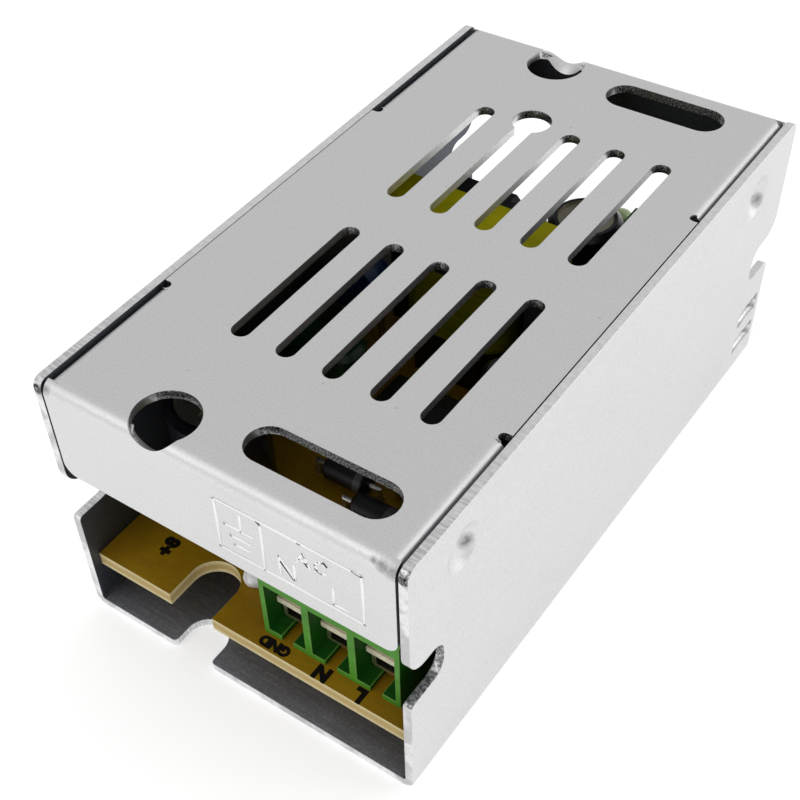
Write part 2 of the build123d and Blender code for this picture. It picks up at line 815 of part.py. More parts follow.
# Output rectifier: a flat moulded body on two leads, stepped behind its tab
with BuildPart() as output_rectifier:
    with BuildSketch(Plane.XZ.offset(-rectifier_y)) as body:
        with Locations((rectifier_x, board_top + rectifier_lift)):
            Rectangle(rectifier_width, rectifier_height, align=(Align.CENTER, Align.MIN))
        chamfer(body.vertices().group_by(Axis.Y)[-1], leg_width)
    extrude(amount=rectifier_thickness / 2, both=True)
    with BuildSketch(Plane.XZ.offset(-rectifier_y)):
        with Locations((rectifier_x, board_top + rectifier_lift + 3 * rectifier_height / 4)):
            Circle(rectifier_width / 5)
    extrude(amount=rectifier_thickness / 2, both=True, mode=Mode.SUBTRACT)
    leads(
        [(rectifier_x - pin_pitch, rectifier_y), (rectifier_x + pin_pitch, rectifier_y)],
        board_top + rectifier_lift + lead_radius,
    )
write(output_rectifier, "output_rectifier")

# Voltage reference: a round moulding with a flat face, on three leads
with BuildPart() as voltage_reference:
    with BuildSketch(Plane.XY.offset(board_top + regulator_lift)):
        with Locations((regulator_x, regulator_y)):
            Circle(regulator_radius)
        with Locations((regulator_x, regulator_y + regulator_radius / 2)):
            Rectangle(2 * regulator_radius, 3 * regulator_radius, align=(Align.CENTER, Align.MAX), mode=Mode.INTERSECT)
    extrude(amount=regulator_height)
    leads(
        [(regulator_x + step * regulator_pitch, regulator_y) for step in (-1, 0, 1)],
        board_top + regulator_lift + lead_radius,
    )
write(voltage_reference, "voltage_reference")

# Output choke: a drum wound between two flanges
with BuildPart() as output_choke:
    with BuildSketch(Plane(origin=(choke_x, choke_y, 0), x_dir=(1, 0, 0), z_dir=(0, -1, 0))):
        with BuildLine():
            Polyline(
                (0, board_top),
                (choke_radius, board_top),
                (choke_radius, board_top + choke_flange),
                (choke_radius - choke_flange / 2, board_top + choke_flange),
                (choke_radius - choke_flange / 2, board_top + choke_height - choke_flange),
                (choke_radius, board_top + choke_height - choke_flange),
                (choke_radius, board_top + choke_height),
                (0, board_top + choke_height),
                close=True,
            )
        make_face()
    revolve(axis=Axis((choke_x, choke_y, 0), (0, 0, 1)))
    leads(
        [(choke_x - choke_radius / 2, choke_y), (choke_x + choke_radius / 2, choke_y)],
        board_top + lead_radius,
    )
write(output_choke, "output_choke")

# Indicator lamp: a domed lens with a collar, on two leads
led_base = board_top + led_lift
with BuildPart() as indicator_lamp:
    with BuildSketch(Plane(origin=(led_x, led_y, 0), x_dir=(1, 0, 0), z_dir=(0, -1, 0))):
        with BuildLine():
            Polyline(
                (0, led_base + led_height),
                (0, led_base),
                (led_radius + led_collar, led_base),
                (led_radius + led_collar, led_base + led_collar_height),
                (led_radius, led_base + led_collar_height),
                (led_radius, led_base + led_height - led_radius),
            )
            RadiusArc((led_radius, led_base + led_height - led_radius), (0, led_base + led_height), -led_radius)
        make_face()
    revolve(axis=Axis((led_x, led_y, 0), (0, 0, 1)))
    leads([(led_x, led_y - led_radius / 2), (led_x, led_y + led_radius / 2)], led_base + lead_radius)
write(indicator_lamp, "indicator_lamp")

# Silicone dab beside the mains terminal
with BuildPart() as silicone_dab:
    with BuildSketch(Plane(origin=(dab_x, dab_y, board_top), x_dir=(1, 0, 0), z_dir=(0, -1, 0))):
        with BuildLine():
            Polyline((0, dab_height), (0, 0), (dab_radius, 0), (dab_radius, dab_height - dab_radius))
            RadiusArc((dab_radius, dab_height - dab_radius), (0, dab_height), -dab_radius)
        make_face()
    revolve(axis=Axis((dab_x, dab_y, 0), (0, 0, 1)))
write(silicone_dab, "silicone_dab")

# Circuit board, drilled for every lead, notched over the mounting notches
with BuildPart() as circuit_board:
    with BuildSketch(Plane.XY.offset(board_under)) as outline:
        Rectangle(2 * board_half_x, 2 * board_half_y)
        with Locations(*[(mount_x, end * board_half_y) for end in ends]):
            SlotOverall(2 * board_notch_depth, board_notch_width, rotation=90, mode=Mode.SUBTRACT)
        with Locations(*drilled):
            RegularPolygon(lead_radius + lead_fit, drill_sides, major_radius=False, mode=Mode.SUBTRACT)
        with Locations(*pin_holes):
            RegularPolygon(pin_width / 2 + lead_fit, drill_sides, major_radius=False, mode=Mode.SUBTRACT)
    extrude(amount=board_thickness)
write(circuit_board, "circuit_board")
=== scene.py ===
import math

import bmesh
import bpy
from mathutils import Matrix, Vector, noise


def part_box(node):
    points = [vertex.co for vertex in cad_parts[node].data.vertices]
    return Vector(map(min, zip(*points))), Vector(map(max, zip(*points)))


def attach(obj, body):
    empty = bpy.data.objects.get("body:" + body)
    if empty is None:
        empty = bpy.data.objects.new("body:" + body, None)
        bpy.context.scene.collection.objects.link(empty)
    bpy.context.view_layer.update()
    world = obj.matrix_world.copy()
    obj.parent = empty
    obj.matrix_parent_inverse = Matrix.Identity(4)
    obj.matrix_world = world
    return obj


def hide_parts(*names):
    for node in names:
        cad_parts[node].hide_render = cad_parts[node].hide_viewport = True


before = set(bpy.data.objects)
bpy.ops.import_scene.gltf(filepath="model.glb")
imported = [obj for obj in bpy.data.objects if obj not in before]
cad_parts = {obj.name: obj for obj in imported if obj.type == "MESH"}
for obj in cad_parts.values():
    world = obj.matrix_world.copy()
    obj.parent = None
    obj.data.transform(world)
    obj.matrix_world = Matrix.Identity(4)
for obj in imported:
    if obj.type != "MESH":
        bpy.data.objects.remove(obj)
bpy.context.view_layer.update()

# Tray: mill-finish aluminium sheet, sheared, pierced and folded into a channel. The rolled
# faces have a fine grain and lines across the case, and the cut edges keep the shear's lines.
mm = 0.001
sheet = 0.9 * mm
bend_outer = 1.3 * mm
tray_edge_round = 0.07 * mm
tray_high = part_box("chassis")[1]
torn_corners = [((side * 19.05, -35.0, 30.05), 0.6) for side in (-1, 1)]
# Painted shade: dark grey spots in the dimples of both side walls, each a place and a radius in
# millimetres.
dimple_shade_spots = [
    ((side * 18.9, y, z), 1.0) for side in (-1, 1) for y, z in ((-26.0, 25.7), (28.5, 25.2))
]


def linear(code):
    """The linear colour of an sRGB hex value."""
    channels = [int(code[place:place + 2], 16) / 255 for place in (1, 3, 5)]
    return [c / 12.92 if c <= 0.04045 else ((c + 0.055) / 1.055) ** 2.4 for c in channels] + [1.0]


def add_node(tree, kind, output=None, inputs=None, **settings):
    """Adds one node with its settings, and with values or links on its inputs, and gives the
    output that is named."""
    made = tree.nodes.new(kind)
    for name, value in settings.items():
        setattr(made, name, value)
    for name, value in (inputs or {}).items():
        if isinstance(value, bpy.types.NodeSocket):
            tree.links.new(value, made.inputs[name])
        else:
            made.inputs[name].default_value = value
    return made.outputs[output] if output else None


def new_material(name):
    """An empty material, its node tree and its Object coordinates."""
    material = bpy.data.materials.new(name)
    material.use_nodes = True
    tree = material.node_tree
    tree.nodes.clear()
    return material, tree, add_node(tree, "ShaderNodeTexCoord", "Object")


def grained(tree, place, size, detail=2.0, roughness=0.6):
    """Noise whose grains have a real size, in millimetres along each axis."""
    drawn_out = add_node(tree, "ShaderNodeMapping", "Vector", {
        "Vector": place, "Scale": [1 / (length * mm) for length in size],
    })
    return add_node(tree, "ShaderNodeTexNoise", "Fac", {
        "Vector": drawn_out, "Scale": 1.0, "Detail": detail, "Roughness": roughness,
    })


def laid_over(tree, tone, colour, pattern, most=1.0, start=0.3, full=0.7):
    """A tone with a colour laid over it, which comes up to its most as the pattern goes from
    start to full."""
    amount = add_node(tree, "ShaderNodeMapRange", "Result", {
        "Value": pattern, "From Min": start, "From Max": full, "To Min": 0.0, "To Max": most,
    })
    return add_node(tree, "ShaderNodeMix", "Result", {
        "Factor": amount, "A": tone, "B": colour,
    }, data_type="RGBA")


def near_spots(tree, place, spots, full=0.25):
    """One within a part of each spot's radius, and nothing past it. A spot is its place and
    its radius, in millimetres."""
    nearest = 0.0
    for spot, radius in spots:
        away = add_node(tree, "ShaderNodeVectorMath", "Value", {
            0: place, 1: [length * mm for length in spot],
        }, operation="DISTANCE")
        close = add_node(tree, "ShaderNodeMapRange", "Result", {
            "Value": away, "From Min": radius * mm, "From Max": full * radius * mm,
        })
        nearest = add_node(tree, "ShaderNodeMath", "Value", {
            0: close, 1: nearest,
        }, operation="MAXIMUM")
    return nearest


def finished(tree, inputs, relief=None, strength=0.0, depth=0.0):
    """The surface: one shader, raised by the relief's pattern where there is one."""
    if relief is not None:
        inputs["Normal"] = add_node(tree, "ShaderNodeBump", "Normal", {
            "Height": relief, "Strength": strength, "Distance": depth,
        })
    shader = add_node(tree, "ShaderNodeBsdfPrincipled", "BSDF", inputs)
    add_node(tree, "ShaderNodeOutputMaterial", inputs={"Surface": shader})


def mill_aluminium(name, pale, dark, rough, spots=(), marks=0.3):
    """Rolled aluminium: satin, with roll lines across the case, soft clouds and a few tiny pits,
    and dark grey painted shade near the given spots. The grain is drawn coarser than the real
    one, so that it shows."""
    material, tree, place = new_material(name)
    grain = grained(tree, place, (0.2, 0.2, 0.2))
    cloud = grained(tree, place, (7, 7, 7), 4.0)
    roll_lines = grained(tree, place, (4, 0.3, 0.3), 3.0)
    pits = add_node(tree, "ShaderNodeTexVoronoi", "Distance", {
        "Vector": place, "Scale": 1 / (3.4 * mm),
    })
    tone = laid_over(tree, linear(pale), linear(dark), grain)
    tone = laid_over(tree, tone, linear(dark), roll_lines, marks)
    tone = laid_over(tree, tone, linear("#3a3a3c"), pits, 0.4, 0.035, 0.015)
    # Near the spots a dark grey is laid over the tone: painted shade.
    if spots:
        shade_near_spots = near_spots(tree, place, spots)
        uneven = add_node(tree, "ShaderNodeMapRange", "Result", {
            "Value": grained(tree, place, (0.7, 0.7, 0.7)),
            "From Min": 0.3, "From Max": 0.7, "To Min": 0.35, "To Max": 0.85,
        })
        tone = laid_over(tree, tone, linear("#232325"), shade_near_spots, uneven, 0.0, 1.0)
    satin = add_node(tree, "ShaderNodeMapRange", "Result", {
        "Value": cloud, "From Min": 0.3, "From Max": 0.7, "To Min": rough, "To Max": rough + 0.07,
    })
    finished(tree, {
        "Base Color": tone, "Metallic": 1.0, "Roughness": satin,
    }, grain, 0.08, 0.02 * mm)
    return material


def sheared_aluminium():
    """The long edges left by the shear: pale, with fine lines through the thickness that are
    deeper towards the front, and a dark torn spot at each front corner."""
    material, tree, place = new_material("sheared_aluminium_edge")
    soft = grained(tree, place, (0.5, 0.5, 0.5), 3.0)
    shear_lines = grained(tree, place, (2, 0.16, 2))
    torn = grained(tree, place, (0.25, 0.25, 0.25))
    along = add_node(tree, "ShaderNodeSeparateXYZ", "Y", {"Vector": place})
    deep = add_node(tree, "ShaderNodeMapRange", "Result", {
        "Value": along, "From Min": -33 * mm, "From Max": -12 * mm, "To Min": 0.6, "To Max": 0.1,
    })
    tone = laid_over(tree, linear("#f2f2f2"), linear("#dededf"), soft)
    tone = laid_over(tree, tone, linear("#a6a6a8"), shear_lines, deep, 0.42, 0.6)
    torn_tone = laid_over(tree, linear("#1c1c1d"), linear("#8c8c8e"), torn, 1.0, 0.42, 0.6)
    corners = near_spots(tree, place, torn_corners, 0.75)
    tone = laid_over(tree, tone, torn_tone, corners, 1.0, 0.0, 1.0)
    finished(tree, {
        "Base Color": tone, "Metallic": 1.0, "Roughness": 0.42,
    }, shear_lines, 0.2, 0.03 * mm)
    return material


def pierced_aluminium(name, dark, pale, size):
    """The walls left by a punch: torn and darker, with bright burnished flecks of a size in
    millimetres."""
    material, tree, place = new_material(name)
    tear = grained(tree, place, (size, size, size), 4.0)
    tone = laid_over(tree, linear(dark), linear(pale), tear, 1.0, 0.42, 0.66)
    finished(tree, {
        "Base Color": tone, "Metallic": 1.0, "Roughness": 0.4,
    }, tear, 0.4, 0.05 * mm)
    return material


merge_distance = 0.001 * mm
flat_angle = math.radians(0.5)
sharp_angle = math.radians(35)


def eased_copy(name, slot, edge_round, choose, *materials, edge_slot=-1):
    """A merged copy of a case part's solid that stands for it, with its outer sharp edges
    eased. The rule gives each face its material, and the eased edges may have their own."""
    form = bmesh.new()
    form.from_mesh(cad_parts[name].data)
    bmesh.ops.remove_doubles(form, verts=form.verts, dist=merge_distance)
    bmesh.ops.dissolve_limit(form, angle_limit=flat_angle, verts=form.verts, edges=form.edges)
    form.normal_update()
    to_ease = form.edges.layers.float.new("bevel_weight_edge")
    for edge in form.edges:
        edge[to_ease] = float(edge.is_convex and edge.calc_face_angle(0.0) > sharp_angle)
    mesh = bpy.data.meshes.new(name + "_piece")
    form.to_mesh(mesh)
    form.free()
    for material in materials:
        mesh.materials.append(material)
    for face in mesh.polygons:
        face.use_smooth = True
        face.material_index = choose(face.center, face.normal)
    piece = bpy.data.objects.new(name + "_piece", mesh)
    bpy.context.scene.collection.objects.link(piece)
    eased = piece.modifiers.new("eased_edges", "BEVEL")
    eased.width = edge_round
    eased.segments = 2
    eased.limit_method = "WEIGHT"
    eased.material = edge_slot
    flat = piece.modifiers.new("flat_faces_stay_flat", "WEIGHTED_NORMAL")
    flat.mode = "FACE_AREA"
    flat.weight = 100
    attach(piece, "case")
    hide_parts(name)


# How near a face lies to the outer side of the sheet, and how far it is turned along an axis.
margin = 0.1 * mm
facing = 0.9
turned = 0.5
leaning = 0.3


def tray_face(centre, normal):
    """0 outside, 1 inner wall and 2 inner floor, both darker as painted shade, 3 a sheared edge, 4
    the front notch's wall.
    """
    outwards = normal.x if centre.x > 0 else -normal.x
    if normal.z > facing and centre.z > tray_high.z - margin:
        return 3
    if abs(normal.y) > facing and abs(centre.y) > tray_high.y - margin:
        return 3
    if abs(centre.x) > tray_high.x - bend_outer and abs(outwards) > leaning:
        return 0 if outwards > 0 else 1
    if abs(normal.z) > leaning and centre.z < bend_outer:
        return 2 if normal.z > 0 else 0
    return 4 if centre.z > bend_outer and centre.x > 0 and centre.y < 0 else 3


# The inner wall and inner floor are darker copies of the outer finish: painted shade inside the
# case.
shaded_inner_wall = mill_aluminium("mill_finish_aluminium_inner_wall_painted_shade", "#71757c", "#585c63", 0.5, (), 0.6)
eased_copy(
    "chassis", "case_aluminium", tray_edge_round, tray_face,
    mill_aluminium("mill_finish_aluminium", "#e4e4e4", "#d6d6d6", 0.42, dimple_shade_spots),
    shaded_inner_wall,
    mill_aluminium("mill_finish_aluminium_inner_floor_painted_shade", "#c9cdd8", "#9599a4", 0.5, (), 0.9),
    sheared_aluminium(),
    pierced_aluminium("notched_aluminium_wall", "#7c7c7e", "#ececed", 0.3),
)


# Cover: the same sheet, pierced with vents and driver slots, folded down at both ends and
# along part of each side, and held by the four dimples of the tray. The corners where the
# sheet is folded carry painted shade: dark grey near these spots.
folded_corner_shade = [
    ((18.0, -34.7, 30.2), 1.0),
    ((17.2, -34.9, 30.4), 0.9),
    ((16.3, -34.9, 30.6), 0.5),
    ((-18.1, -34.6, 30.2), 0.7),
    ((18.1, 34.6, 30.2), 0.9),
    ((-18.1, 34.6, 30.2), 0.9),
]
hole_rim_round = 0.11 * mm
cover_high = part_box("cover")[1]
plate_low = cover_high.z - sheet - 0.05 * mm
end_band = 0.4 * mm
under_band = 0.5 * mm
side_facing = 0.85


def cover_face(centre, normal):
    """0 outside, 1 inside, darker as painted shade, 2 a torn end of a hole, 3 a burnished long side
    or other edge, paler as painted highlight.
    """
    if normal.z > leaning:
        return 0
    if normal.z < -turned:
        return 1 if centre.z > plate_low - under_band else 3
    if centre.z > plate_low:
        past_end = abs(centre.y) > cover_high.y - end_band and normal.y * centre.y > 0
        past_side = abs(centre.x) > cover_high.x - end_band and normal.x * centre.x > 0
        if past_end or past_side:
            return 0
        return 3 if abs(normal.x) > side_facing else 2
    if abs(normal.y) > turned:
        return 0 if abs(centre.y) > cover_high.y - margin else 1
    return 0 if normal.x * centre.x > 0 else 1


eased_copy(
    "cover", "case_aluminium", hole_rim_round, cover_face,
    mill_aluminium("mill_finish_aluminium_cover", "#e4e4e4", "#d6d6d6", 0.42, folded_corner_shade),
    # The inside of the cover takes the darker inner finish: painted shade.
    shaded_inner_wall,
    pierced_aluminium("pierced_aluminium_end", "#525254", "#ececed", 0.18),
    # Paler rims on the eased edges and the long sides of the holes: burnished, with painted
    # highlight.
    mill_aluminium("burnished_aluminium_rim_painted_highlight", "#f2f2f2", "#d8d8d8", 0.34),
    edge_slot=3,
)


# Circuit board: paper laminate bonded with phenolic resin, sawn to size. The face is a warm
# olive brown, and the cut edge is paler because the paper fibres show.
board_low, board_high = (corner.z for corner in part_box("circuit_board"))
board_edge_round = 0.06 * mm


def paper_laminate():
    """Phenolic paper: olive brown with faint fibres, a few specks and a slight satin sheen."""
    material, tree, place = new_material("phenolic_paper_laminate")
    fibre = grained(tree, place, (3, 0.5, 0.3), 3.0)
    cloud = grained(tree, place, (6, 6, 6), 5.0)
    specks = grained(tree, place, (0.35, 0.35, 0.35), 3.0)
    tone = laid_over(tree, linear("#8f6a08"), linear("#a5800b"), cloud)
    tone = laid_over(tree, tone, linear("#765606"), fibre, 0.35)
    tone = laid_over(tree, tone, linear("#4c3a0a"), specks, 0.5, 0.62, 0.72)
    satin = add_node(tree, "ShaderNodeMapRange", "Result", {
        "Value": fibre, "From Min": 0.3, "From Max": 0.7, "To Min": 0.4, "To Max": 0.55,
    })
    finished(tree, {"Base Color": tone, "Roughness": satin, "Specular IOR Level": 0.25})
    return material


def sawn_laminate():
    """The sawn edge of the laminate: pale at both faces, browner between, with torn fibres."""
    material, tree, place = new_material("sawn_laminate_edge")
    torn = grained(tree, place, (0.4, 0.4, 0.4), 5.0)
    layers = grained(tree, place, (3, 3, 0.12), 4.0, 0.5)
    height = add_node(tree, "ShaderNodeSeparateXYZ", "Z", {"Vector": place})
    above_middle = add_node(tree, "ShaderNodeMath", "Value", {
        0: height, 1: (board_low + board_high) / 2,
    }, operation="SUBTRACT")
    from_middle = add_node(tree, "ShaderNodeMath", "Value", {0: above_middle}, operation="ABSOLUTE")
    ragged = add_node(tree, "ShaderNodeMath", "Value", {
        0: torn, 1: 0.5 * mm, 2: from_middle,
    }, operation="MULTIPLY_ADD")
    tone = laid_over(
        tree, linear("#ccb276"), linear("#f0e5b6"), ragged, 1.0, 0.45 * mm, 0.95 * mm
    )
    tone = laid_over(tree, tone, linear("#ae9150"), layers, 0.5)
    finished(tree, {"Base Color": tone, "Roughness": 0.8}, torn, 0.4, 0.05 * mm)
    return material


def board_face(centre, normal):
    """0 a face, 1 the sawn edge."""
    return 0 if abs(normal.z) > turned else 1


eased_copy(
    "circuit_board", "board_laminate", board_edge_round, board_face,
    paper_laminate(), sawn_laminate(), edge_slot=1,
)


# Terminal housings: green glass-filled nylon, moulded, with softly broken edges. The eased
# edges are a paler green, as painted highlight, and the walls, ledges and top a darker green,
# as painted shade.
housing_edge_round = 0.08 * mm


def moulded_plastic(name, colour, roughness, fleck=0.12, gloss=0.5):
    """Moulded plastic, or what sets or is ground as smooth: epoxy, silicone, lacquer, paint and
    ferrite. One colour with slight flow marks, and a fine grain that is drawn coarser than the
    real one, so that it shows."""
    material, tree, place = new_material(name)
    flow = grained(tree, place, (2.5, 2.5, 2.5), 3.0)
    grain = grained(tree, place, (0.12, 0.12, 0.12))
    shade = [channel * (1 - 2.5 * fleck) for channel in linear(colour)[:3]] + [1.0]
    sheen = add_node(tree, "ShaderNodeMapRange", "Result", {
        "Value": flow, "From Min": 0.3, "From Max": 0.7,
        "To Min": roughness, "To Max": roughness + 0.1,
    })
    finished(tree, {
        "Base Color": laid_over(tree, linear(colour), shade, flow),
        "Roughness": sheen,
        "Specular IOR Level": gloss,
    }, grain, 0.15, 0.02 * mm)
    return material


def housing_face(centre, normal):
    """0 a face on the wire side, 1 a wall, a ledge or the top, in a darker green as painted shade.
    """
    return 0 if abs(normal.y) > turned else 1


housing_greens = (
    # The walls' darker green is painted shade, and the edges' paler green painted highlight.
    moulded_plastic("green_nylon_front", "#519c2c", 0.45, gloss=0.25),
    moulded_plastic("green_nylon_walls_painted_shade", "#11550a", 0.5, gloss=0.2),
    moulded_plastic("green_nylon_edge_painted_highlight", "#6fa546", 0.4, gloss=0.3),
)
for side in ("ac", "dc"):
    eased_copy(
        side + "_terminal_housing", "terminal_green", housing_edge_round, housing_face,
        *housing_greens, edge_slot=2,
    )


# Clamp parts: brass contact bars and steel cages and screws, all bright tin or zinc plated.
# They keep the CAD solids, and the insides of the cages are painted dark, as shade.
def plated_metal(name, colour, roughness, metallic=1.0):
    """Plated metal, or bare metal as bright: one pale colour, a little dulled in spots, with a
    soft uneven sheen as from the bath."""
    material, tree, place = new_material(name)
    bath = grained(tree, place, (0.8, 0.8, 0.8), 3.0)
    spots = grained(tree, place, (0.25, 0.25, 0.25))
    sheen = add_node(tree, "ShaderNodeMapRange", "Result", {
        "Value": bath, "From Min": 0.3, "From Max": 0.7,
        "To Min": roughness, "To Max": roughness + 0.15,
    })
    finished(tree, {
        "Base Color": laid_over(tree, linear(colour), linear("#77736a"), spots, 0.25),
        "Metallic": metallic,
        "Roughness": sheen,
    })
    return material


def finish_solid(name, *materials):
    """Gives a CAD solid its materials."""
    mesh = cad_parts[name].data
    mesh.materials.clear()
    for material in materials:
        mesh.materials.append(material)
    return mesh


def finish_faces(name, choose, *materials):
    """Gives a CAD solid several materials, with the one for each face chosen by a rule."""
    mesh = finish_solid(name, *materials)
    for face in mesh.polygons:
        face.material_index = choose(face.center, face.normal)


def cage_faces(low, high):
    """The rule for a cage: 0 outside and the ends, 1 inside, darker as painted shade."""
    middle = (low + high) / 2

    def choose(centre, normal):
        return 1 if abs(normal.y) < turned and normal.dot(middle - centre) > 0 else 0

    return choose


tin_plate = plated_metal("tin_plated_brass", "#fff0cb", 0.3)
matt_tin = plated_metal("matt_tin_plated_brass", "#fff8dc", 0.4, 0.35)
cage_inside_shade = plated_metal("tin_inside_cage_painted_shade", "#4f4a40", 0.5)
zinc_plate = plated_metal("zinc_plated_steel", "#dadad5", 0.28)
for side, poles in (("ac", 3), ("dc", 2)):
    finish_solid(side + "_terminal_contacts", matt_tin)
    for pole in range(1, poles + 1):
        cage = f"{side}_clamp_cage_{pole}"
        finish_faces(cage, cage_faces(*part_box(cage)), tin_plate, cage_inside_shade)
        finish_solid(f"{side}_clamp_screw_{pole}", zinc_plate)


# Transformer: ground ferrite halves on a black phenolic bobbin, with polyester tape round
# the coil and a narrower band of it round the core. The coil's tape is a darker olive than the
# band, as painted shade.
def polyester_tape(name, colour, shade):
    """Thin tape with the faint ribs of the turns beneath it."""
    material, tree, place = new_material(name)
    ribs = grained(tree, place, (6, 6, 0.45), 3.0, 0.5)
    finished(tree, {
        "Base Color": laid_over(tree, linear(colour), linear(shade), ribs),
        "Roughness": 0.4,
        "Specular IOR Level": 0.12,
    }, ribs, 0.3, 0.05 * mm)
    return material


ferrite = moulded_plastic("ground_ferrite", "#2b2b30", 0.5)
finish_solid("transformer_core_lower", ferrite)
finish_solid("transformer_core_upper", ferrite)
finish_solid("transformer_bobbin", moulded_plastic("black_phenolic", "#171717", 0.42))
# The coil's olive tape is the yellow tape darkened: painted shade.
finish_solid("transformer_winding", polyester_tape("olive_polyester_tape_painted_shade", "#8a8608", "#6a6706"))
finish_solid("transformer_tape", polyester_tape("yellow_polyester_tape", "#e6df00", "#b8b400"))


# Electrolytic capacitors: aluminium cans in a shrunk vinyl sleeve, which leaves the scored
# top bare, with a pale stripe down the negative side, on tinned leads.
sleeve_rim = 0.95 * mm
top_sunk = 0.45 * mm
stripe_turn = 0.92
slack = 0.02 * mm


def can_faces(low, high):
    """The rule for a can: 0 the sleeve, 1 the bare top, 2 the leads, 3 the stripe."""
    middle = (low + high) / 2
    top_radius = (high.x - low.x) / 2 - sleeve_rim

    def choose(centre, normal):
        if centre.z < board_high + slack:
            return 2
        away = math.hypot(centre.x - middle.x, centre.y - middle.y)
        if centre.z > high.z - top_sunk and away < top_radius:
            return 1
        return 3 if normal.x < -stripe_turn else 0

    return choose


tinned_lead = plated_metal("tinned_copper", "#dcdcd6", 0.25)
can_finishes = (
    moulded_plastic("dark_vinyl_sleeve", "#1c1d24", 0.25),
    plated_metal("bare_can_aluminium", "#cfc9b4", 0.35),
    tinned_lead,
    moulded_plastic("printed_sleeve_stripe", "#9a9a94", 0.3),
)
for name in ("bulk_capacitor", "output_capacitor", "supply_capacitor"):
    finish_faces(name, can_faces(*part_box(name)), *can_finishes)


# Axial parts: black moulded diodes with a silver band, and lacquered resistors with painted
# bands, on bright tinned leads. Each band is a thin ring round the body.
def separate_solids(name):
    """The boxes of a node's separate solids, in order along the board."""
    form = bmesh.new()
    form.from_mesh(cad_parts[name].data)
    bmesh.ops.remove_doubles(form, verts=form.verts, dist=merge_distance)
    boxes = []
    waiting = set(form.verts)
    while waiting:
        front = [waiting.pop()]
        found = []
        while front:
            vertex = front.pop()
            found.append(vertex.co.copy())
            for edge in vertex.link_edges:
                other = edge.other_vert(vertex)
                if other in waiting:
                    waiting.remove(other)
                    front.append(other)
        low = Vector(min(place[axis] for place in found) for axis in range(3))
        high = Vector(max(place[axis] for place in found) for axis in range(3))
        boxes.append((low, high))
    form.free()
    return sorted(boxes, key=lambda box: (box[0].y, box[0].x))


def keep_piece(name, form, slot, *materials):
    """A new piece of the case from a built form."""
    mesh = bpy.data.meshes.new(name)
    form.to_mesh(mesh)
    form.free()
    for material in materials:
        mesh.materials.append(material)
    for face in mesh.polygons:
        face.use_smooth = True
    piece = bpy.data.objects.new(name, mesh)
    bpy.context.scene.collection.objects.link(piece)
    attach(piece, "case")
    return piece


def axial_bands(name, node, offsets, width, paint):
    """Thin rings round the bodies of axial parts, each at an offset from the body's middle."""
    form = bmesh.new()
    for low, high in separate_solids(node):
        radius = (high.y - low.y) / 2
        middle = Vector(((low.x + high.x) / 2, (low.y + high.y) / 2, high.z - radius))
        for offset in offsets:
            place = Matrix.Translation(middle + Vector((offset, 0, 0)))
            bmesh.ops.create_cone(
                form, cap_ends=False, segments=40, depth=width,
                radius1=radius + paint_thickness, radius2=radius + paint_thickness,
                matrix=place @ Matrix.Rotation(math.pi / 2, 4, "Y"),
            )
    keep_piece(name, form, "lacquer_tan", paint)


def axial_faces(boxes, body_half):
    """The rule for axial parts: 0 the bodies, 1 the leads."""
    def choose(centre, normal):
        for low, high in boxes:
            if low.x < centre.x < high.x and low.y < centre.y < high.y:
                radius = (high.y - low.y) / 2
                on_body = abs(centre.x - (low.x + high.x) / 2) < body_half + slack
                above_leads = centre.z > high.z - 2.1 * radius
                return 0 if on_body and above_leads else 1
        return 1

    return choose


paint_thickness = 0.02 * mm
black_epoxy = moulded_plastic("black_epoxy_moulding", "#141416", 0.4)
tan_lacquer = moulded_plastic("tan_resistor_lacquer", "#b98a4e", 0.35)
for node, body_half, body in (
    ("rectifier_diodes", 2.6 * mm, black_epoxy),
    ("fuse_resistor", 3.5 * mm, tan_lacquer),
    ("resistors", 1.7 * mm, tan_lacquer),
):
    finish_faces(node, axial_faces(separate_solids(node), body_half), body, tinned_lead)
# The diodes' silver band is drawn a dark grey: silver paint with painted shade inside the case.
shaded_silver_paint = moulded_plastic("shaded_silver_paint", "#5c5c5a", 0.35)
brown_paint = moulded_plastic("brown_paint", "#4a2814", 0.35)
red_paint = moulded_plastic("red_paint", "#9a2318", 0.35)
gold_paint = moulded_plastic("gold_paint", "#a8842e", 0.3)
for name, node, offsets, width, paint in (
    ("diode_bands", "rectifier_diodes", [1.7 * mm], 0.8 * mm, shaded_silver_paint),
    ("resistor_brown_bands", "resistors", [-0.9 * mm, 0.45 * mm], 0.3 * mm, brown_paint),
    ("resistor_red_bands", "resistors", [-0.25 * mm], 0.3 * mm, red_paint),
    ("resistor_gold_bands", "resistors", [1.05 * mm], 0.3 * mm, gold_paint),
    ("fuse_resistor_bands", "fuse_resistor", [-1.8 * mm, 0.0], 0.6 * mm, brown_paint),
):
    axial_bands(name, node, offsets, width, paint)


# Dipped discs, the film capacitor and the moulded chips: dipped or moulded epoxy, on tinned
# leads or legs.
chip_width = 6.4 * mm
leg_rise = 0.4 * mm


def leads_below(height):
    """The rule for a part on leads: 0 the body, 1 what is under a height."""
    return lambda centre, normal: 1 if centre.z < height else 0


def chip_faces(low, high, along):
    """The rule for a chip with its legs in rows along x or y: 0 the body, 1 the legs."""
    middle = (low + high) / 2

    def choose(centre, normal):
        away = abs(centre.y - middle.y) if along == "x" else abs(centre.x - middle.x)
        beside = away > chip_width / 2 + slack
        return 1 if beside or centre.z < board_high + leg_rise else 0

    return choose


